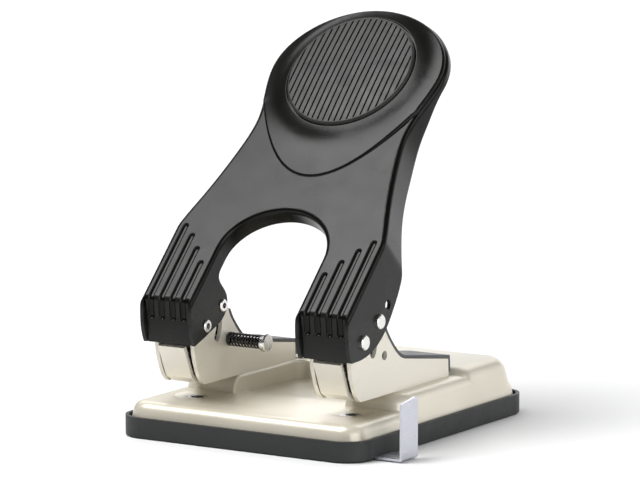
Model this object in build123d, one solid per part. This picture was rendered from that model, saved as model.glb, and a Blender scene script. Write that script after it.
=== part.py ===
from build123d import *
import math
import os

# Heavy-duty two-hole punch.  Millimetres; X runs across the punch, Y from the paper side (-Y) to the back,
# Z up.  The origin is the centre of the face that it stands on.

# ---- driving dimensions -------------------------------------------------------------------------------
HOLE_SPACING = 80.0          # centre distance of the two punched holes
HOLE_Y = -42.0               # punching line, 12 mm in front of the paper stop
HOLE_R = 2.75                # punch radius, a 5.5 mm hole

TRAY_W, TRAY_L, TRAY_H = 124.7, 147.9, 9.3
TRAY_CORNER = 12.5
TRAY_WALL = 1.6

SHELL_T = 1.4                # stamped sheet of the base
SHELL_GAP = 1.85             # the shell's wall stands this far inside the tray's outer face
SHELL_Z0 = 3.8
SHELL_TAPER = 13.0           # lean of the shell's walls, degrees
SHELF_Z = 15.4               # lower shelf that carries the paper
DECK_Z = 22.7                # upper deck that carries the brackets
REAR_Z = 25.9                # raised rear of the deck, behind the brackets
STOP_Y = -30.0               # paper stop, the step from shelf to deck
REAR_Y = 24.6                # front of the raised rear
BAY_HALF = 28.6              # half width of the open bay between the brackets
BAY_BACK = 24.0
BAY_SINK = 1.4               # the bay's floor lies this far below the shelf

BRACKET_HALF = 10.3          # half width outside
BRACKET_T = 1.9
BRACKET_BACK = 22.5
FLAP_HALF = 6.8              # half width of the bracket's front flap
RIVET_YS = (-16.0, 12.0)     # rivets that hold each bracket
RIVET_R = 2.0
COVER_T = 1.5                # channel cover's strip, on the edges of the bracket's walls

SHEET = 1.8                  # handle sheet
LEG_HALF = 13.4              # half width of a handle leg outside
FULCRUM = (-54.5, 49.2)      # y, z of the fulcrum pins
TILT = 45.1                  # handle's face above the horizontal at rest, degrees
PRESS = 56.0                 # swing from rest to the bottom of the stroke
FACE_H = 16.8                # handle's outer face above the fulcrum
HANDLE_L = 166.4             # from the fulcrum's foot to the tip, along the face
PIN_R = 2.0
DRIVE_R = 14.7               # drive pin's distance from the fulcrum
DRIVE_ANGLE = 29.7           # its direction at rest, degrees above the horizontal
LOCK_R = 24.3                # lock hole's distance from the fulcrum
LOCK_ANGLE = 33.8            # direction of the handle's lock hole at rest
FIT = 0.05                   # running clearance of pins in their holes, on the radius
PAD_R = 30.4                 # round thumb pad
PAD_V = 128.6                # its centre along the handle

GUIDE_X, GUIDE_Y = 74.6, -52.85
GUIDE_W, GUIDE_T, GUIDE_H = 13.3, 1.0, 27.4
GUIDE_TAIL = -45.0           # inner end of the guide's strip

LEG_X = HOLE_SPACING / 2


# ---- helpers ------------------------------------------------------------------------------------------
def along_x(profile, x0, x1):
    """Prism of a (y, z) face between two x positions."""
    return extrude(Plane.YZ.offset(min(x0, x1)) * profile, abs(x1 - x0))


def rod(y, z, radius, x0, x1):
    """Round bar along X."""
    return along_x(Pos(y, z) * Circle(radius), x0, x1)


def upright(x, y, radius, z0, z1):
    """Round bar along Z."""
    return Pos(x, y, z0) * extrude(Circle(radius), z1 - z0)


def block(x0, x1, y0, y1, z0, z1):
    return Pos((x0 + x1) / 2, (y0 + y1) / 2, (z0 + z1) / 2) * Box(x1 - x0, y1 - y0, z1 - z0)


def polar(radius, angle):
    """Point in the (y, z) plane about the fulcrum."""
    a = math.radians(angle)
    return FULCRUM[0] + radius * math.cos(a), FULCRUM[1] + radius * math.sin(a)


def outline_wire(*curves):
    return Wire([edge for curve in curves for edge in curve.edges()])


def outline(*curves):
    return make_face(outline_wire(*curves))


def edges_at(shape, test):
    return ShapeList([e for e in shape.edges() if test(e.center())])


def spring_coil(radius, wire, turns, length, start):
    """Compression spring along +Z from `start`, with closed flat seats."""
    pitch = (length - wire) / turns
    path = Helix(pitch=pitch, height=length - wire, radius=radius)
    section = Plane(origin=path @ 0, z_dir=path % 0) * Circle(wire / 2)
    return start * Pos(0, 0, wire / 2) * sweep(section, path=path, is_frenet=True)


# ---- chip tray ----------------------------------------------------------------------------------------
def chip_tray():
    outer = extrude(RectangleRounded(TRAY_W, TRAY_L, TRAY_CORNER), TRAY_H)
    outer = chamfer(edges_at(outer, lambda c: c.Z < 0.01), 0.8)
    room = Pos(0, 0, 2.0) * extrude(
        RectangleRounded(TRAY_W - 2 * TRAY_WALL, TRAY_L - 2 * TRAY_WALL, TRAY_CORNER - TRAY_WALL), TRAY_H)
    tray = outer - room
    # raised tunnel that the paper guide's strip slides in
    y0, y1 = GUIDE_Y - GUIDE_W / 2, GUIDE_Y + GUIDE_W / 2
    tray += block(GUIDE_TAIL - 15, TRAY_W / 2 - 1, y0 - 2, y1 + 2, 0.5, 3.6)
    # ledge that the shell's edge stands on
    ledge = extrude(RectangleRounded(TRAY_W - 2, TRAY_L - 2, TRAY_CORNER - 1), 1.3)
    ledge -= extrude(RectangleRounded(TRAY_W - 8, TRAY_L - 8, TRAY_CORNER - 4), 1.3)
    tray += Pos(0, 0, SHELL_Z0 - 1.3) * ledge
    tray -= block(GUIDE_TAIL - 13, TRAY_W, y0 - 0.15, y1 + 0.15, 0.5, 1.75)
    tray -= block(-6, 20, GUIDE_Y - 3.2, GUIDE_Y + 3.2, 1.7, 2.9)
    for x, y in foot_places():
        tray -= upright(x, y, 6.0, -1, 1.2)
    return tray


def foot_places():
    return [(sx * 48, y) for sx in (-1, 1) for y in (-28, 60)]


def tray_feet():
    return [upright(x, y, 5.9, 0, 1.2) for x, y in foot_places()]


# ---- base shell ---------------------------------------------------------------------------------------
def pillow(front, level, top, corner, rounding, inset):
    """Tapered block with a soft top edge.  `front` is its front edge's y at height `level`."""
    lean = math.tan(math.radians(SHELL_TAPER))
    x = TRAY_W / 2 - SHELL_GAP - inset
    y0 = front - (level - SHELL_Z0) * lean + inset
    y1 = TRAY_L / 2 - SHELL_GAP - inset
    foot = Pos(0, (y0 + y1) / 2) * RectangleRounded(2 * x, y1 - y0, corner - inset)
    body = Pos(0, 0, SHELL_Z0 - inset) * extrude(foot, top - SHELL_Z0, taper=SHELL_TAPER)
    return fillet(edges_at(body, lambda c: c.Z > top - inset - 0.01), rounding - inset)


def bay(inset):
    """Space between the brackets, open to the front, with its floor sunk a little."""
    x, back, depth = BAY_HALF + inset, BAY_BACK + inset, SHELF_Z - inset
    room = block(-x, x, STOP_Y - 10, back, depth, 40)
    sunk = block(-x, x, STOP_Y + 7 - inset, back, depth - BAY_SINK, 40)
    return (fillet(room.edges().filter_by(Axis.Z).sort_by(Axis.Y)[-2:], 6.0)
            + fillet(sunk.edges().filter_by(Axis.Z), 6.0))


def base_form(inset):
    """Outer (inset 0) or inner form of the stamped base: shelf, deck and raised rear."""
    shelf_front = -(TRAY_L / 2 - SHELL_GAP)
    form = pillow(shelf_front, SHELL_Z0, SHELF_Z, TRAY_CORNER - SHELL_GAP, 5.0, inset)
    form += pillow(STOP_Y, SHELF_Z, DECK_Z, 13.0, 6.0, inset)
    form += pillow(REAR_Y, REAR_Z, REAR_Z, 13.0, 8.0, inset)
    return form - bay(inset)


def base_shell():
    shell = base_form(0)
    shell = fillet(edges_at(shell, lambda c: abs(abs(c.X) - BAY_HALF) < 0.1 and abs(c.Z - DECK_Z) < 0.1), 1.2)
    shell -= base_form(SHELL_T)
    for sx in (-1, 1):
        x = sx * LEG_X
        shell -= Pos(x, HOLE_Y, SHELF_Z - 0.35) * Cone(6.0, 10.0, 0.7)
        shell -= upright(x, HOLE_Y, 5.0, 0, SHELF_Z + 1)
        for y in RIVET_YS:
            shell -= upright(x, y, RIVET_R + 0.02, 10, 40)
    return shell


def die(sx):
    """Hardened die ring under a punching hole, flush with the bottom of its dimple."""
    top = SHELF_Z - 0.7
    ring = upright(sx * LEG_X, HOLE_Y, 4.98, 9.4, top)
    ring += upright(sx * LEG_X, HOLE_Y, 8.0, 9.4, SHELF_Z - SHELL_T)
    ring -= upright(sx * LEG_X, HOLE_Y, HOLE_R + 0.05, 8, top + 1)
    return ring - upright(sx * LEG_X, HOLE_Y, HOLE_R + 0.9, 8, top - 3.2)


# ---- brackets -----------------------------------------------------------------------------------------
def bracket_profile():
    """Side of a bracket in the (y, z) plane."""
    nose = Pos(*FULCRUM) * Circle(5.6)
    return outline(
        Line((-51.5, DECK_Z), (BRACKET_BACK, DECK_Z)),
        Line((BRACKET_BACK, DECK_Z), (BRACKET_BACK - 0.5, 30.5)),
        Line((BRACKET_BACK - 0.5, 30.5), (-14.1, 36.0)),
        Spline((-14.1, 36.0), (-23.3, 41.1), (-30.0, 48.7), (-33.4, 56.0), tangents=((-5, 0.75), (-0.2, 1))),
        ThreePointArc((-33.4, 56.0), (-37.6, 59.9), (-43.5, 60.6)),
        Line((-43.5, 60.6), (-53.5, 54.7)),
        Line((-53.5, 54.7), (-59.9, 47.6)),
        Spline((-59.9, 47.6), (-59.6, 39.0), (-57.0, 30.0), (-51.5, DECK_Z), tangents=((0, -1), (1, -0.6))),
    ) + nose


def bracket_slot():
    """Arc slot about the fulcrum that the drive pin travels in."""
    half = PIN_R + 0.2
    start, end = DRIVE_ANGLE + 1.5, DRIVE_ANGLE - PRESS - 1.5
    middle = (start + end) / 2

    def arc(radius, a, b):
        return ThreePointArc(polar(radius, a), polar(radius, middle), polar(radius, b))

    def cap(angle, side):
        tip = polar(DRIVE_R, angle + side * math.degrees(half / DRIVE_R))
        return ThreePointArc(polar(DRIVE_R - half * side, angle), tip, polar(DRIVE_R + half * side, angle))

    outer, inner = arc(DRIVE_R + half, start, end), arc(DRIVE_R - half, end, start)
    return outline(outer, cap(end, -1), inner, cap(start, 1))


def lock_hole_at():
    return polar(LOCK_R, LOCK_ANGLE - PRESS)


def bracket(sx):
    x = sx * LEG_X
    body = along_x(bracket_profile(), x - BRACKET_HALF, x + BRACKET_HALF)
    inner = BRACKET_HALF - BRACKET_T
    body -= block(x - inner, x + inner, -70, 40, DECK_Z + BRACKET_T, 80)
    body -= block(x - inner, x + inner, -70, -49.0, 0, 80)
    # front flap, bent up from the floor of the channel
    flap = outline(Polyline((-49.0, 22.7), (-50.6, 22.7), (-56.2, 25.6), (-62.7, 39.9), (-61.0, 40.7),
                            (-54.8, 27.0), (-50.2, 24.6), (-49.0, 24.6), close=True))
    body += along_x(flap, x - FLAP_HALF, x + FLAP_HALF)
    body -= rod(*FULCRUM, PIN_R + FIT, x - 20, x + 20)
    body -= along_x(bracket_slot(), x - 20, x + 20)
    body -= rod(*lock_hole_at(), PIN_R + FIT, x - 20, x + 20)
    body -= upright(x, HOLE_Y, 4.6, 20, 26)
    for y in RIVET_YS:
        body -= upright(x, y, RIVET_R + 0.02, 20, 26)
    return body


def bracket_rivets():
    rivets = []
    for sx in (-1, 1):
        for y in RIVET_YS:
            x, floor = sx * LEG_X, DECK_Z + BRACKET_T
            shank = upright(x, y, RIVET_R, DECK_Z - SHELL_T - 0.9, floor + 0.5)
            head = upright(x, y, 3.6, floor, floor + 1.5)
            tail = upright(x, y, 3.2, DECK_Z - SHELL_T - 1.2, DECK_Z - SHELL_T)
            rivets.append(fillet(edges_at(head, lambda c: c.Z > floor + 1.4), 1.0) + shank + tail)
    return rivets


def rear_band(inner, outer):
    """Side of a band that follows the bracket's rear edge, between two distances outside that edge."""
    foot = DECK_Z + BRACKET_T + 0.2

    def edge(d):
        straight = [(BRACKET_BACK + d, foot), (BRACKET_BACK - 0.5 + d, 30.5 + d),
                    (-14.1 + 0.15 * d, 36.0 + d)]
        curve = [straight[2], (-23.3 + 0.64 * d, 41.1 + 0.77 * d), (-30.0 + 0.87 * d, 48.7 + 0.5 * d),
                 (-32.3 + 0.92 * d, 52.8 + 0.38 * d)]
        sweep_up = Spline(*curve, tangents=((-5, 0.75), (-0.38, 0.92)))
        return [Line(*straight[:2]), Line(*straight[1:]), sweep_up]

    low, high = edge(inner), edge(outer)
    return outline(*high, Line(high[2] @ 1, low[2] @ 1), *low[::-1], Line(low[0] @ 0, high[0] @ 0))


def channel_cover(sx):
    """Plastic strip along the rear edges of a bracket's walls, with a tongue nested between them."""
    x, tongue_half = sx * LEG_X, BRACKET_HALF - BRACKET_T - 0.15
    strip = along_x(rear_band(0.06, COVER_T), x - BRACKET_HALF, x + BRACKET_HALF)
    return strip + along_x(rear_band(-2.8, 0.3), x - tongue_half, x + tongue_half)


# ---- punching pins ------------------------------------------------------------------------------------
PUNCH_TIP = DECK_Z + BRACKET_T + 0.2
PUNCH_TOP = FULCRUM[1] + DRIVE_R * math.sin(math.radians(DRIVE_ANGLE)) - PIN_R - 0.15
CAP_T = 1.6
BUSH_TOP = 28.4


def guide_bush(sx):
    x = sx * LEG_X
    bush = upright(x, HOLE_Y, 4.58, DECK_Z, DECK_Z + BRACKET_T)
    bush += upright(x, HOLE_Y, 6.6, DECK_Z + BRACKET_T, 26.0)
    bush += upright(x, HOLE_Y, 3.9, 26.0, BUSH_TOP)
    return bush - upright(x, HOLE_Y, HOLE_R + 0.05, 20, 40)


def punch(sx):
    """Hardened punch with a hollow-ground tip."""
    x = sx * LEG_X
    rod_ = upright(x, HOLE_Y, HOLE_R, PUNCH_TIP, PUNCH_TOP - CAP_T)
    rod_ += upright(x, HOLE_Y, HOLE_R - 0.75, PUNCH_TOP - CAP_T, PUNCH_TOP - 0.4)
    notch = rod(HOLE_Y, PUNCH_TIP - 3.1, 4.1, x - 5, x + 5)
    return rod_ - notch


def punch_cap(sx):
    """Collar that the drive pin presses on and the return spring lifts."""
    x = sx * LEG_X
    cap = upright(x, HOLE_Y, 5.2, PUNCH_TOP - CAP_T, PUNCH_TOP)
    return cap - upright(x, HOLE_Y, HOLE_R - 0.73, 40, 60)


def return_spring(sx):
    low, high = 26.0, PUNCH_TOP - CAP_T
    return spring_coil(4.55, 0.9, 6, high - low - 0.1, Pos(sx * LEG_X, HOLE_Y, low + 0.05))


# ---- pins ---------------------------------------------------------------------------------------------
def leg_pin(sx, centre):
    """Riveted pin through a handle leg: flat head outside, rolled hollow end inside."""
    x, outer, inner = sx * LEG_X, LEG_HALF, -LEG_HALF
    body = rod(*centre, PIN_R, x + sx * (inner - 0.9), x + sx * (outer + 0.4))
    head = rod(*centre, 3.2, x + sx * outer, x + sx * (outer + 1.5))
    head = chamfer(edges_at(head, lambda c: abs(c.X) > abs(x + sx * (outer + 1.45))), 0.35)
    rolled = rod(*centre, 2.7, x + sx * inner, x + sx * (inner - 0.9))
    rolled = chamfer(edges_at(rolled, lambda c: abs(c.X) < abs(x + sx * (inner - 0.85))), 0.3)
    hollow = rod(*centre, 1.3, x + sx * (inner - 2), x + sx * (inner + 3))
    return body + head + rolled - hollow


def fulcrum_washers():
    """Spacers between the bracket walls and the handle's cheeks."""
    rings = []
    for sx in (-1, 1):
        for side in (-1, 1):
            x0 = sx * LEG_X + side * BRACKET_HALF
            ring = rod(*FULCRUM, 4.4, x0, x0 + side * 1.2) - rod(*FULCRUM, PIN_R + 0.12, x0 - 2, x0 + 2)
            rings.append(ring)
    return rings


# ---- handle -------------------------------------------------------------------------------------------
# The handle is drawn lying flat: x across, v along its face from the fulcrum's foot, w up from the fulcrum.
HANDLE_PLANE = Plane(origin=(0, *FULCRUM), x_dir=(1, 0, 0),
                     z_dir=(0, -math.sin(math.radians(TILT)), math.cos(math.radians(TILT))))
BEND = 51.6                  # how far the lip is folded down from the face, degrees
LIP_SET = 0.8                # the lip lies this far behind the cheeks' front edges
HEAD_V, HEAD_W = 131.0, 44.6
HEAD_L = HANDLE_L - HEAD_V
ARCH_V, ARCH_L = 30.0, 23.0
ARCH_FLANGE = 8.5            # lower edge of the flange round the arch
BOSS_V = 72.0                # tip of the raised boss
BOSS_K = 0.0245              # its lower edge is the parabola v = BOSS_V + BOSS_K x^2
BOSS_INSET, BOSS_ROUND = 1.0, 1.2    # it stands this far inside the handle's edge, with a soft rim
SEAT_W = 19.4                # seat of the thumb pad
PAD_GAP = 0.7                # groove round the thumb pad
PAD_TOP, PAD_CROWN = 22.0, 0.9       # height of the pad's edge, rise of its middle
PAD_RIM = 1.2                # plain rounded border outside the ribs
RIBS, RIB_PITCH, RIB_GAP, RIB_DEPTH = 21, 2.9, 0.8, 1.0
FLUTE_X = (31.8, 37.2, 42.9, 48.4)
FLUTE_TOP = (21.3, 28.5, 35.2, 40.2)
FLUTE_R, FLUTE_LIFT = 1.75, 0.65     # round section of a flute, and its axis's height above the sheet
FLUTE_LIP = 6.4                      # reach of the flutes down the lip, from the bend's corner
BEND_R = 3.8                         # outside radius of the bend


def handle_outline(inset):
    """Plan of the handle with its arch, seen square on, open legs towards -v."""
    edge, arch = LEG_X + LEG_HALF - inset, LEG_X - LEG_HALF + inset
    head_w, head_l, arch_l = HEAD_W - inset, HEAD_L - inset, ARCH_L + inset
    half = outline(
        Line((arch, -30), (edge, -30)),
        Line((edge, -30), (edge, 41)),
        Spline((edge, 41), (48.3 - inset, 58), (41.9 - inset, 83), (39.7 - inset, 103), (head_w, HEAD_V),
               tangents=((-0.24, 1), (0.02, 1))),
        EllipticalCenterArc((0, HEAD_V), head_w, head_l, arc_size=90),
        Line((0, HEAD_V + head_l), (0, ARCH_V + arch_l)),
        EllipticalCenterArc((0, ARCH_V), arch, arch_l, arc_size=90),
        Line((arch, ARCH_V), (arch, -30)),
    )
    shoulder = min(half.vertices(), key=lambda p: math.hypot(p.X - edge, p.Y - 41))
    half = fillet(shoulder, 14)
    return half + mirror(half, Plane.YZ)


def face_profile(drop):
    """Side of the folded face and lip in (v, w), `drop` below the outer surface."""
    lean = math.radians(BEND)
    v, w = LIP_SET + drop * math.tan(lean / 2), FACE_H - drop
    far = (v - 45 * math.cos(lean), w - 45 * math.sin(lean))
    shape = outline(Polyline(far, (v, w), (200, w), (200, -60), (far[0], -60), close=True))
    bend = min(shape.vertices(), key=lambda p: math.hypot(p.X - v, p.Y - w))
    return fillet(bend, BEND_R - drop)


CHEEK_TOE = (-12.0, 1.1)     # front bottom corner of the cheeks, (v, w)


def cheek_profile(*back):
    """Side of a cheek in (v, w): lobe round the pins, then the flange that stiffens the handle.

    Its front edge bulges a little past the lip, from the toe up to the face."""
    return outline(
        Spline(CHEEK_TOE, (-7.4, 9.4), (-1.6, 15.2), (3.0, FACE_H), tangents=((0.3, 1), (1, 0))),
        Line((3.0, FACE_H), (3.0, 40)), Line((3.0, 40), (200, 40)), Line((200, 40), back[-1] @ 1), *back)


def outer_cheek():
    return cheek_profile(
        Line(CHEEK_TOE, (-6.8, -3.6)),
        Spline((-6.8, -3.6), (3.3, -9.3), (13.5, -11.1), (22.5, -10.3), (38.6, -6.0), (53.0, 0.4),
               tangents=((1, -0.8), (1, 0.25))),
        Spline((53.0, 0.4), (74.0, 2.4), (92.0, 2.4), (114.0, 8.6), (128.0, 12.6),
               tangents=((1, 0.25), (1, 0))),
        Line((128.0, 12.6), (200, 12.6)),
    )


def inner_cheek():
    return cheek_profile(
        Line(CHEEK_TOE, (-4.1, -2.6)),
        Spline((-4.1, -2.6), (6.0, -6.8), (14.6, -7.6), (19.4, -3.2), (20.2, 4.0), (25.0, ARCH_FLANGE),
               tangents=((1, -0.35), (1, 0))),
        Line((25.0, ARCH_FLANGE), (200, ARCH_FLANGE)),
    )


def boss_plan(inset):
    """Plan of the raised boss: the head's own outline above a parabola."""
    reach = 50.0
    end = BOSS_V + inset + BOSS_K * reach ** 2
    above = outline(Bezier((-reach, end), (0, 2 * (BOSS_V + inset) - end), (reach, end)),
                    Polyline((reach, end), (reach, 190), (-reach, 190), (-reach, end)))
    return handle_outline(BOSS_INSET + inset) & above


def boss_dome(drop, floor):
    """Solid under the boss's crowned surface, `drop` below it, turned about the thumb pad's centre."""
    rim, top, edge = PAD_R + PAD_GAP + 0.2, SEAT_W + 1.4 - drop, 17.6 - drop
    half = outline(
        Line((0, floor), (0, top)),
        Line((0, top), (rim, top)),
        Spline((rim, top), (37.0, top - 1.7), (44.0, edge + 0.35), (58.0, edge),
               tangents=((1, -0.2), (1, -0.01))),
        Line((58.0, edge), (75.0, edge)),
        Line((75.0, edge), (75.0, floor)),
        Line((75.0, floor), (0, floor)),
    )
    return Pos(0, PAD_V, 0) * revolve(Plane.XZ * half, Axis.Z)


def pad_peg_places():
    return [(20 * math.cos(a), PAD_V + 20 * math.sin(a)) for a in (math.pi * k / 3 + math.pi / 2
                                                                   for k in (0, 2, 4))]


def flutes():
    """Round-bottomed grooves stamped down each leg and over the bend."""
    lean = math.radians(BEND)
    down, out = (-math.cos(lean), -math.sin(lean)), (-math.sin(lean), math.cos(lean))
    centre = (LIP_SET + BEND_R * math.tan(lean / 2), FACE_H - BEND_R)
    reach, height = BEND_R + FLUTE_LIFT, FACE_H + FLUTE_LIFT
    half_out = (-math.sin(lean / 2), math.cos(lean / 2))
    bend_end = (centre[0] + reach * out[0], centre[1] + reach * out[1])
    bend_middle = (centre[0] + reach * half_out[0], centre[1] + reach * half_out[1])
    tip = (bend_end[0] + FLUTE_LIP * down[0], bend_end[1] + FLUTE_LIP * down[1])
    cuts = Part()
    for x, top in zip(FLUTE_X, FLUTE_TOP):
        line = outline_wire(Line((top, height), (centre[0], height)),
                            ThreePointArc((centre[0], height), bend_middle, bend_end),
                            Line(bend_end, tip))
        for sx in (-1, 1):
            path = Plane.YZ.offset(sx * x) * line
            cuts += sweep(Plane(origin=path @ 0, z_dir=path % 0) * Circle(FLUTE_R), path=path)
            for v, w in ((top, height), tip):
                cuts += Pos(sx * x, v, w) * Sphere(FLUTE_R)
    return cuts


def raised_boss():
    boss = boss_dome(0, FACE_H - 1) & extrude(boss_plan(0), 60)
    rim = edges_at(boss, lambda c: c.Z > FACE_H + 0.3 and math.hypot(c.X, c.Y - PAD_V) > PAD_R + 2)
    return fillet(rim, BOSS_ROUND)


def handle():
    whole = Pos(0, 0, -30) * extrude(handle_outline(0), FACE_H + 30)
    whole = fillet(edges_at(whole, lambda c: c.Z > FACE_H - 0.01 and c.Y > -25), 2.2)
    hollow = Pos(0, 0, -31) * extrude(handle_outline(SHEET), FACE_H + 40)
    reach = LEG_X + 20
    plate = along_x(face_profile(0), -reach, reach) - along_x(face_profile(SHEET), -reach, reach)
    inner_zone = block(-LEG_X, LEG_X, -40, ARCH_V + ARCH_L + 4, -60, 60)
    folded = (whole - hollow) + (whole & plate)
    body = (folded - inner_zone) & along_x(outer_cheek(), -reach, reach)
    body += folded & inner_zone & along_x(inner_cheek(), -reach, reach)
    # slits that part the lip from the cheeks
    for sx in (-1, 1):
        for edge, inward in ((LEG_X + LEG_HALF, -1), (LEG_X - LEG_HALF, 1)):
            x0, x1 = sorted((sx * (edge + inward * SHEET), sx * (edge + inward * (SHEET + 0.6))))
            body -= block(x0, x1, -30, -0.2, -60, 60)
    body += raised_boss()
    body -= boss_dome(SHEET + 0.1, 0) & extrude(boss_plan(SHEET), 60)
    body -= Pos(0, PAD_V, SEAT_W) * extrude(Circle(PAD_R + PAD_GAP), 10)
    for x, v in pad_peg_places():
        body -= upright(x, v, 2.1, 10, 30)
    body -= flutes()
    for angle, radius, hole in ((0, 0, PIN_R), (DRIVE_ANGLE, DRIVE_R, PIN_R)):
        v, w = flat(polar(radius, angle))
        body -= rod(v, w, hole + 0.02, -reach, reach)
    v, w = flat(polar(LOCK_R, LOCK_ANGLE))
    for sx in (-1, 1):
        body -= rod(v, w, PIN_R + 0.2, sx * (LEG_X + 5), sx * reach)
    return HANDLE_PLANE * body


def flat(point):
    """A (y, z) point in the handle's own (v, w)."""
    t = math.radians(TILT)
    dy, dz = point[0] - FULCRUM[0], point[1] - FULCRUM[1]
    return dy * math.cos(t) + dz * math.sin(t), dz * math.cos(t) - dy * math.sin(t)


def thumb_pad():
    """Round crowned insert with fine ribs along the handle, held by three pegs."""
    low = SEAT_W + 0.05

    def disc(drop):
        crown = outline(Line((0, low), (0, PAD_TOP + PAD_CROWN - drop)),
                        ThreePointArc((0, PAD_TOP + PAD_CROWN - drop),
                                      (PAD_R / 2, PAD_TOP + PAD_CROWN * 0.75 - drop), (PAD_R, PAD_TOP - drop)),
                        Line((PAD_R, PAD_TOP - drop), (PAD_R, low)),
                        Line((PAD_R, low), (0, low)))
        return Pos(0, PAD_V, 0) * revolve(Plane.XZ * crown, Axis.Z)

    whole = disc(0)
    whole = fillet(edges_at(whole, lambda c: c.Z > low + 0.5), PAD_RIM)
    grooved = Pos(0, PAD_V, 0) * extrude(Circle(PAD_R - PAD_RIM), 40) - disc(RIB_DEPTH)
    pad = whole
    for k in range(RIBS - 1):
        x = (k - (RIBS - 2) / 2) * RIB_PITCH
        pad -= grooved & block(x - RIB_GAP / 2, x + RIB_GAP / 2, PAD_V - 40, PAD_V + 40, 15, 30)
    for x, v in pad_peg_places():
        pad += upright(x, v, 1.95, SEAT_W - 2.9, SEAT_W + 0.1)
    return HANDLE_PLANE * pad


# ---- lock pin -----------------------------------------------------------------------------------------
LOCK_HEAD_X = -11.6
WALL_IN = -(LEG_X - BRACKET_HALF)          # bay side of the left bracket
LOCK_TIP_X = -(LEG_X + BRACKET_HALF) + 0.3
CLIP_X = WALL_IN - BRACKET_T - 0.05


def lock_pin():
    y, z = lock_hole_at()
    pin = rod(y, z, PIN_R, LOCK_TIP_X, LOCK_HEAD_X) + rod(y, z, 4.1, LOCK_HEAD_X, LOCK_HEAD_X + 2.4)
    pin = chamfer(edges_at(pin, lambda c: c.X > LOCK_HEAD_X + 2.3 or c.X < LOCK_TIP_X + 0.01), 0.5)
    groove = rod(y, z, 5, CLIP_X - 0.7, CLIP_X) - rod(y, z, 1.5, CLIP_X - 1, CLIP_X + 1)
    return pin - groove


def lock_clip():
    """Retaining ring on the lock pin, inside the channel."""
    y, z = lock_hole_at()
    ring = rod(y, z, 3.3, CLIP_X - 0.65, CLIP_X - 0.05) - rod(y, z, 1.53, CLIP_X - 1, CLIP_X + 1)
    return ring - block(CLIP_X - 1, CLIP_X + 1, y - 1.1, y + 1.1, z - 5, z)


def lock_spring():
    y, z = lock_hole_at()
    start = Location((WALL_IN + 0.05, y, z), (0, 90, 0))
    return spring_coil(2.75, 0.75, 11, LOCK_HEAD_X - WALL_IN - 0.1, start)


# ---- paper guide --------------------------------------------------------------------------------------
def paper_guide():
    y0, y1 = GUIDE_Y - GUIDE_W / 2, GUIDE_Y + GUIDE_W / 2
    strip = block(GUIDE_TAIL, GUIDE_X + GUIDE_T, y0, y1, 0.65, 0.65 + GUIDE_T)
    plate = outline(Polyline((y0, 0.65), (y1, 0.65), (y1, GUIDE_H), (y0, GUIDE_H - 2.0), close=True))
    corner = max(plate.vertices(), key=lambda p: p.X + p.Y)
    guide = strip + along_x(fillet(corner, 2.2), GUIDE_X, GUIDE_X + GUIDE_T)
    bend = edges_at(guide, lambda c: abs(c.X - GUIDE_X - GUIDE_T) < 0.01 and c.Z < 0.7)
    return fillet(bend, 0.9)


def guide_spring():
    """Leaf spring in the tunnel's roof that keeps the paper guide where it is set."""
    leaf = outline(Line((-5.5, 2.7), (-5.5, 2.35)), ThreePointArc((-5.5, 2.35), (7, 1.7), (19.5, 2.35)),
                   Line((19.5, 2.35), (19.5, 2.7)), ThreePointArc((19.5, 2.7), (7, 2.05), (-5.5, 2.7)))
    return extrude(Plane.XZ.offset(-GUIDE_Y - 3) * leaf, 6)


# ---- assembly -----------------------------------------------------------------------------------------
def parts():
    made = {"chip_tray": chip_tray(), "tray_feet": tray_feet(), "base_shell": base_shell(),
            "bracket_rivets": bracket_rivets(), "fulcrum_washers": fulcrum_washers(), "handle": handle(),
            "thumb_pad": thumb_pad(), "lock_pin": lock_pin(), "lock_clip": lock_clip(),
            "lock_spring": lock_spring(), "paper_guide": paper_guide(), "guide_spring": guide_spring()}
    for side, sx in (("left", -1), ("right", 1)):
        made[f"die_{side}"] = die(sx)
        made[f"bracket_{side}"] = bracket(sx)
        made[f"channel_cover_{side}"] = channel_cover(sx)
        made[f"guide_bush_{side}"] = guide_bush(sx)
        made[f"punch_{side}"] = punch(sx)
        made[f"punch_cap_{side}"] = punch_cap(sx)
        made[f"return_spring_{side}"] = return_spring(sx)
        made[f"fulcrum_pin_{side}"] = leg_pin(sx, FULCRUM)
        made[f"drive_pin_{side}"] = leg_pin(sx, polar(DRIVE_R, DRIVE_ANGLE))
    return made


if __name__ == "__main__":
    os.makedirs("parts", exist_ok=True)
    for name, shape in parts().items():
        shape = Compound(children=shape) if isinstance(shape, list) else shape
        export_step(shape, f"parts/{name}.step")
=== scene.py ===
import math

import bpy
from mathutils import Matrix, Vector


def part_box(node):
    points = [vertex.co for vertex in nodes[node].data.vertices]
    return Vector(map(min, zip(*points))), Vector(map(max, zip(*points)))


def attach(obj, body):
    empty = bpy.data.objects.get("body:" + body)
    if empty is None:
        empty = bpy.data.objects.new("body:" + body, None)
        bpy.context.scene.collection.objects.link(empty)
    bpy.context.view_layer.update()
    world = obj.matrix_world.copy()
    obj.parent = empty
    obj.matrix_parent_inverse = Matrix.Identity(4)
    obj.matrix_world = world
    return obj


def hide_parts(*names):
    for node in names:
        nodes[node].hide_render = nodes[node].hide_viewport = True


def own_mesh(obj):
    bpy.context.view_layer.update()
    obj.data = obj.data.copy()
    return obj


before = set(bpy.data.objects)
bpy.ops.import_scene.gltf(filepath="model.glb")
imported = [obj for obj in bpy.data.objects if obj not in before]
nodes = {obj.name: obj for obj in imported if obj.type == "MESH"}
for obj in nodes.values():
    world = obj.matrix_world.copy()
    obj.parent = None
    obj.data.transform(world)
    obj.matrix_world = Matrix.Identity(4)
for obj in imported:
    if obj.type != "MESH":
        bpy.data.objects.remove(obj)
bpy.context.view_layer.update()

MM = 0.001
scene = bpy.context.scene


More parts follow.
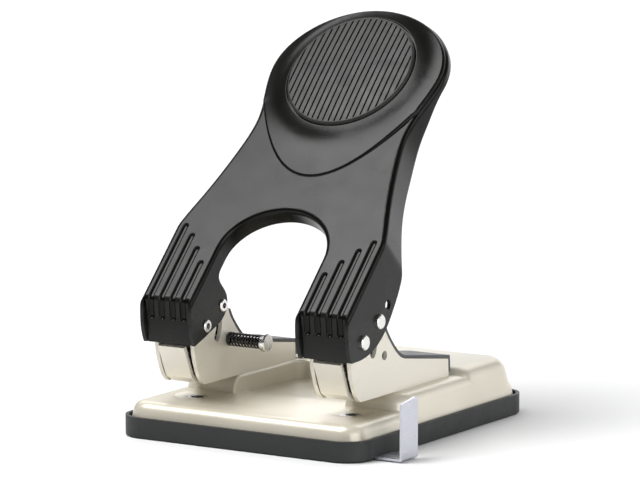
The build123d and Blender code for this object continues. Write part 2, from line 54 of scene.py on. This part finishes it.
# ---- camera, light and floor --------------------------------------------------------------------------
def aim(obj, target):
    """Turns an object's -Z at the target."""
    obj.rotation_euler = (Vector(target) - obj.location).to_track_quat("-Z", "Y").to_euler()


def camera():
    azimuth, elevation, distance = math.radians(32.14), math.radians(8.55), 1.93535
    target = Vector((-0.00187, -0.00118, 0.08221))
    back = Vector((math.sin(azimuth) * math.cos(elevation), -math.cos(azimuth) * math.cos(elevation),
                   math.sin(elevation)))
    data = bpy.data.cameras.new("camera")
    data.sensor_width, data.lens = 36.0, 246.8
    data.clip_end = 20.0
    eye = bpy.data.objects.new("camera", data)
    scene.collection.objects.link(eye)
    eye.location = target + back * distance
    aim(eye, target)
    scene.camera = eye


def area_light(name, direction, distance, size, power, colour=(1, 1, 1), target=(0, 0, 0.08)):
    data = bpy.data.lights.new(name, "AREA")
    data.shape = "RECTANGLE"
    data.size, data.size_y = size
    data.energy, data.color = power, colour
    lamp = bpy.data.objects.new(name, data)
    scene.collection.objects.link(lamp)
    lamp.location = Vector(target) + Vector(direction).normalized() * distance
    aim(lamp, target)


def studio():
    area_light("overhead_softbox", (-0.34, -0.33, 0.87), 1.2, (0.80, 0.74), 17.0)
    area_light("rear_card", (0.14, 0.95, 0.19), 2.8, (5.0, 1.3), 29.0)
    area_light("right_strip", (0.87, 0.25, 0.42), 1.3, (0.20, 0.8), 1.6)
    area_light("side_fill", (0.92, -0.30, 0.22), 2.4, (2.0, 1.6), 26.0)
    area_light("background_light", (0, 0, 1), 1.5, (3.0, 2.2), 46.0, target=(-1.2, 2.0, 0))
    world = bpy.data.worlds.new("studio")
    scene.world = world
    world.use_nodes = True
    world.node_tree.nodes["Background"].inputs["Color"].default_value = (0.96, 0.98, 1.0, 1)
    world.node_tree.nodes["Background"].inputs["Strength"].default_value = 0.12
    scene.view_settings.view_transform = "Standard"


# ---- materials ----------------------------------------------------------------------------------------
class Finish:
    """A Principled material with helpers for its patterns, all on Object coordinates in metres."""

    def __init__(self, name, colour, metallic=0.0, roughness=0.4, specular=0.5, coat=0.0,
                 coat_roughness=0.1):
        self.material = bpy.data.materials.new(name)
        self.material.use_nodes = True
        self.tree = self.material.node_tree
        self.shader = self.tree.nodes["Principled BSDF"]
        self.set("Base Color", (*colour, 1))
        self.set("Metallic", metallic)
        self.set("Roughness", roughness)
        self.set("Specular IOR Level", specular)
        self.set("Coat Weight", coat)
        self.set("Coat Roughness", coat_roughness)
        self.coords = self.tree.nodes.new("ShaderNodeTexCoord").outputs["Object"]

    def set(self, socket, value):
        self.shader.inputs[socket].default_value = value

    def add(self, kind, **settings):
        node = self.tree.nodes.new(kind)
        for key, value in settings.items():
            setattr(node, key, value)
        return node

    def link(self, a, b):
        self.tree.links.new(a, b)

    def noise(self, size_mm, detail=3.0, stretch=(1, 1, 1)):
        """Noise whose blobs are about size_mm across, stretched along the given axes."""
        mapping = self.add("ShaderNodeMapping")
        mapping.inputs["Scale"].default_value = [1 / s for s in stretch]
        self.link(self.coords, mapping.inputs["Vector"])
        texture = self.add("ShaderNodeTexNoise")
        texture.inputs["Scale"].default_value = 1 / (size_mm * MM)
        texture.inputs["Detail"].default_value = detail
        self.link(mapping.outputs["Vector"], texture.inputs["Vector"])
        return texture.outputs["Fac"]

    def ramp(self, source, low, high, a, b):
        """Maps source between low and high to a value between a and b."""
        node = self.add("ShaderNodeMapRange")
        node.inputs["From Min"].default_value, node.inputs["From Max"].default_value = low, high
        node.inputs["To Min"].default_value, node.inputs["To Max"].default_value = a, b
        self.link(source, node.inputs["Value"])
        return node.outputs["Result"]

    def mix(self, factor, first, second):
        """Colour mix; first and second are colours or sockets."""
        node = self.add("ShaderNodeMix", data_type="RGBA")
        self.link(factor, node.inputs["Factor"])
        for socket, value in ((node.inputs[6], first), (node.inputs[7], second)):
            if isinstance(value, tuple):
                socket.default_value = (*value, 1)
            else:
                self.link(value, socket)
        return node.outputs[2]

    def edges(self, low=0.52, high=0.60):
        """1 on convex edges, 0 elsewhere."""
        return self.ramp(self.add("ShaderNodeNewGeometry").outputs["Pointiness"], low, high, 0, 1)

    def colour(self, socket):
        self.link(socket, self.shader.inputs["Base Color"])

    def roughness(self, socket):
        self.link(socket, self.shader.inputs["Roughness"])

    def bump(self, *layers):
        """layers are (height socket, depth in mm), summed one on another."""
        normal = None
        for height, depth_mm in layers:
            node = self.add("ShaderNodeBump")
            node.inputs["Distance"].default_value = depth_mm * MM
            node.inputs["Strength"].default_value = 1.0
            self.link(height, node.inputs["Height"])
            if normal:
                self.link(normal, node.inputs["Normal"])
            normal = node.outputs["Normal"]
        self.link(normal, self.shader.inputs["Normal"])


def champagne_lacquer():
    f = Finish("champagne_lacquer", (0.68, 0.64, 0.53), metallic=0.25, roughness=0.34, coat=0.2,
               coat_roughness=0.14)
    tone = f.mix(f.ramp(f.noise(38, 2), 0.35, 0.65, 0, 1), (0.655, 0.61, 0.50), (0.71, 0.665, 0.555))
    f.colour(f.mix(f.edges(0.53, 0.62), tone, (0.80, 0.76, 0.66)))
    f.roughness(f.ramp(f.noise(14, 4), 0.3, 0.7, 0.29, 0.39))
    f.bump((f.noise(1.6, 0), 0.004))
    return f.material


def handle_enamel():
    f = Finish("handle_enamel", (0.004, 0.0041, 0.0038), roughness=0.26, specular=0.20)
    patches = f.ramp(f.noise(30, 3), 0.35, 0.65, 0, 1)
    tone = f.mix(patches, (0.0018, 0.0019, 0.0012), (0.0030, 0.0031, 0.0022))
    f.colour(f.mix(f.edges(0.54, 0.66), tone, (0.03, 0.03, 0.029)))
    f.roughness(f.ramp(f.noise(11, 4), 0.3, 0.7, 0.23, 0.28))
    f.bump((f.noise(1.6, 0), 0.003))
    return f.material


def moulded_plastic(name, colour, roughness, grain_mm=0.35, grain_depth=0.012):
    f = Finish(name, colour, roughness=roughness, specular=0.28)
    light = tuple(c * 1.35 for c in colour)
    tone = f.mix(f.ramp(f.noise(25, 3), 0.35, 0.65, 0, 1), colour, light)
    f.colour(f.mix(f.edges(), tone, tuple(c * 2.0 + 0.01 for c in colour)))
    f.roughness(f.ramp(f.noise(6, 4), 0.3, 0.7, roughness - 0.06, roughness + 0.06))
    f.bump((f.noise(grain_mm, 2), grain_depth))
    return f.material


def plated_steel(name, colour, roughness, brushed=(1, 1, 1)):
    f = Finish(name, colour, metallic=1.0, roughness=roughness)
    tone = f.mix(f.ramp(f.noise(3, 4), 0.35, 0.65, 0, 1), tuple(c * 0.88 for c in colour), colour)
    f.colour(f.mix(f.edges(0.52, 0.60), tone, tuple(min(1, c * 1.15) for c in colour)))
    f.roughness(f.ramp(f.noise(2.5, 4), 0.3, 0.7, roughness - 0.07, roughness + 0.09))
    f.bump((f.noise(0.25, 3, brushed), 0.004))
    return f.material


def dress(material, *names):
    for name in names:
        data = nodes[name].data
        data.materials.clear()
        data.materials.append(material)


def both(stem):
    return stem + "_left", stem + "_right"


def dress_cad_nodes():
    dress(champagne_lacquer(), "base_shell", *both("bracket"))
    dress(handle_enamel(), "handle")
    dress(moulded_plastic("tray_plastic", (0.0125, 0.0132, 0.0132), 0.50), "chip_tray")
    dress(moulded_plastic("cover_plastic", (0.040, 0.041, 0.043), 0.45), *both("channel_cover"))
    dress(moulded_plastic("pad_plastic", (0.019, 0.020, 0.018), 0.42), "thumb_pad")
    dress(moulded_plastic("foot_rubber", (0.018, 0.018, 0.018), 0.8, 0.6, 0.03), "tray_feet")
    dress(plated_steel("nickel", (0.80, 0.79, 0.77), 0.24), *both("fulcrum_pin"), *both("drive_pin"),
          "lock_pin")
    dress(plated_steel("zinc_plate", (0.62, 0.62, 0.63), 0.34), "bracket_rivets", "fulcrum_washers",
          *both("guide_bush"), *both("punch_cap"))
    dress(plated_steel("hardened_steel", (0.45, 0.45, 0.46), 0.28), *both("punch"), *both("die"))
    dress(plated_steel("spring_steel", (0.42, 0.42, 0.43), 0.32), *both("return_spring"), "guide_spring",
          "lock_clip")
    dress(plated_steel("black_spring", (0.06, 0.06, 0.06), 0.35), "lock_spring")
    dress(plated_steel("guide_sheet", (0.54, 0.55, 0.60), 0.32, brushed=(14, 14, 1)), "paper_guide")


# ---- springs and scale marks: Geometry Nodes ----------------------------------------------------------
class Tree:
    """A Geometry Nodes tree with named inputs, which `mesh` turns into a plain mesh."""

    def __init__(self, name, **inputs):
        self.group = bpy.data.node_groups.new(name, "GeometryNodeTree")
        face = self.group.interface
        face.new_socket("Geometry", in_out="OUTPUT", socket_type="NodeSocketGeometry")
        self.sockets = {}
        for label, value in inputs.items():
            kind = "NodeSocketInt" if isinstance(value, int) else "NodeSocketFloat"
            self.sockets[label] = face.new_socket(label, in_out="INPUT", socket_type=kind)
        self.inputs = inputs
        self.entry = self.group.nodes.new("NodeGroupInput")

    def value(self, label):
        return self.entry.outputs[label]

    def node(self, kind, links=(), **settings):
        """Adds a node; `links` are (input name or number, socket or value) pairs."""
        made = self.group.nodes.new(kind)
        for key, setting in settings.items():
            setattr(made, key, setting)
        for target, source in links:
            if isinstance(source, bpy.types.NodeSocket):
                self.group.links.new(source, made.inputs[target])
            else:
                made.inputs[target].default_value = source
        return made

    def math(self, operation, first, second):
        return self.node("ShaderNodeMath", [(0, first), (1, second)], operation=operation).outputs[0]

    def finish(self, geometry, material):
        real = self.node("GeometryNodeRealizeInstances", [(0, geometry)])
        dressed = self.node("GeometryNodeSetMaterial", [
            ("Geometry", real.outputs[0]), ("Material", material)])
        end = self.group.nodes.new("NodeGroupOutput")
        self.group.links.new(dressed.outputs[0], end.inputs[0])

    def mesh(self, name, place=Matrix.Identity(4)):
        """Evaluates the tree on an empty object and returns a plain object with its place in its mesh."""
        seed = bpy.data.objects.new(name + "_seed", bpy.data.meshes.new(name + "_seed"))
        scene.collection.objects.link(seed)
        modifier = seed.modifiers.new("shape", "NODES")
        modifier.node_group = self.group
        for label, value in self.inputs.items():
            modifier[self.sockets[label].identifier] = value
        evaluated = seed.evaluated_get(bpy.context.evaluated_depsgraph_get())
        data = bpy.data.meshes.new_from_object(evaluated)
        seed.modifiers.clear()
        bpy.data.objects.remove(seed)
        data.name = name
        data.transform(place)
        piece = bpy.data.objects.new(name, data)
        scene.collection.objects.link(piece)
        return piece


def coil_spring(name, radius, wire, length, turns, material, place):
    """Compression spring along +Z with closed end coils that lie flat on their seats."""
    tree = Tree(name, coil_radius=radius, wire_radius=wire / 2, length=length, turns=float(turns))
    spiral = tree.node("GeometryNodeCurveSpiral", [
        ("Resolution", 40), ("Rotations", tree.value("turns")), ("Start Radius", tree.value("coil_radius")),
        ("End Radius", tree.value("coil_radius")), ("Height", 0.0)])
    along = tree.node("GeometryNodeSplineParameter").outputs["Factor"]
    end_share = tree.math("DIVIDE", 1.0, tree.value("turns"))
    last_start = tree.math("SUBTRACT", 1.0, end_share)
    closed_rise = tree.math("MULTIPLY", tree.value("wire_radius"), 2.0)
    ends_and_wire = tree.math("MULTIPLY", tree.value("wire_radius"), 6.0)
    free_rise = tree.math("SUBTRACT", tree.value("length"), ends_and_wire)
    height = tree.value("wire_radius")
    for start, end, rise in ((0.0, end_share, closed_rise), (end_share, last_start, free_rise),
                             (last_start, 1.0, closed_rise)):
        part = tree.node("ShaderNodeMapRange", [
            ("Value", along), ("From Min", start), ("From Max", end), ("To Min", 0.0), ("To Max", rise)])
        height = tree.math("ADD", height, part.outputs[0])
    lift = tree.node("ShaderNodeCombineXYZ", [("Z", height)])
    raised = tree.node("GeometryNodeSetPosition", [
        ("Geometry", spiral.outputs[0]), ("Offset", lift.outputs[0])])
    section = tree.node("GeometryNodeCurvePrimitiveCircle", [
        ("Resolution", 12), ("Radius", tree.value("wire_radius"))])
    coil = tree.node("GeometryNodeCurveToMesh", [
        ("Curve", raised.outputs[0]), ("Profile Curve", section.outputs[0]), ("Fill Caps", True)])
    smooth = tree.node("GeometryNodeSetShadeSmooth", [("Geometry", coil.outputs[0])])
    tree.finish(smooth.outputs[0], material)
    return tree.mesh(name, place)


def return_springs(material):
    wire = 0.9 * MM
    for side in ("left", "right"):
        node = f"return_spring_{side}"
        low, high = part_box(node)
        centre = (low + high) / 2
        length = high.z - low.z
        spring = coil_spring(f"coil_{node}", (high.x - low.x - wire) / 2, wire, length, 6.5, material,
                             Matrix.Translation((centre.x, centre.y, low.z)))
        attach(spring, "frame")
        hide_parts(node)
        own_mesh(spring)


def lock_pin_spring(material):
    wire = 0.8 * MM
    low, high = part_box("lock_spring")
    centre = (low + high) / 2
    length = high.x - low.x
    place = Matrix.Translation((low.x, centre.y, centre.z)) @ Matrix.Rotation(math.pi / 2, 4, "Y")
    radius = (high.z - low.z - wire) / 2
    spring = coil_spring("coil_lock_spring", radius, wire, length, 11.5, material, place)
    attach(spring, "frame")
    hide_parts("lock_spring")
    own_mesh(spring)


def guide_scale(material):
    """Printed scale marks along the paper guide's strip, every fifth one longer."""
    low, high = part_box("paper_guide")
    strip_thickness, mark_height = 1.0 * MM, 0.06 * MM
    count, pitch, end_margin = 23, 5.0 * MM, 4.5 * MM
    tree = Tree("guide_scale", count=count, pitch=pitch, mark_width=0.45 * MM, mark_length=3.2 * MM,
                mark_height=mark_height, long_mark=1.7)
    row = tree.node("GeometryNodeMeshLine", [
        ("Count", tree.value("count")),
        ("Offset", tree.node("ShaderNodeCombineXYZ", [("X", tree.value("pitch"))]).outputs[0])])
    size = tree.node("ShaderNodeCombineXYZ", [
        ("X", tree.value("mark_width")), ("Y", tree.value("mark_length")), ("Z", tree.value("mark_height"))])
    bar = tree.node("GeometryNodeMeshCube", [("Size", size.outputs[0])])
    index = tree.node("GeometryNodeInputIndex").outputs[0]
    fifth = tree.math("LESS_THAN", tree.math("MODULO", index, 5.0), 0.5)
    extra = tree.math("SUBTRACT", tree.value("long_mark"), 1.0)
    stretch = tree.math("ADD", 1.0, tree.math("MULTIPLY", fifth, extra))
    scale = tree.node("ShaderNodeCombineXYZ", [("X", 1.0), ("Y", stretch), ("Z", 1.0)])
    marks = tree.node("GeometryNodeInstanceOnPoints", [
        ("Points", row.outputs[0]), ("Instance", bar.outputs[0]), ("Scale", scale.outputs[0])])
    tree.finish(marks.outputs[0], material)
    start = (high.x - end_margin - (count - 1) * pitch, (low.y + high.y) / 2 + 1.2 * MM,
             low.z + strip_thickness + mark_height / 2)
    scale_marks = tree.mesh("guide_scale_marks", Matrix.Translation(start))
    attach(scale_marks, "guide")


def floor():
    bpy.ops.mesh.primitive_plane_add(size=12)
    sheet = bpy.context.object
    sheet.name = "floor"
    f = Finish("floor_paper", (0.86, 0.86, 0.86), roughness=0.9, specular=0.1)
    f.colour(f.mix(f.noise(400, 2), (0.85, 0.85, 0.85), (0.88, 0.88, 0.88)))
    sheet.data.materials.append(f.material)


camera()
studio()
floor()
dress_cad_nodes()
return_springs(plated_steel("spring_wire", (0.42, 0.42, 0.43), 0.30))
lock_pin_spring(plated_steel("black_wire", (0.05, 0.05, 0.052), 0.34))
guide_scale(moulded_plastic("scale_ink", (0.05, 0.05, 0.055), 0.5))
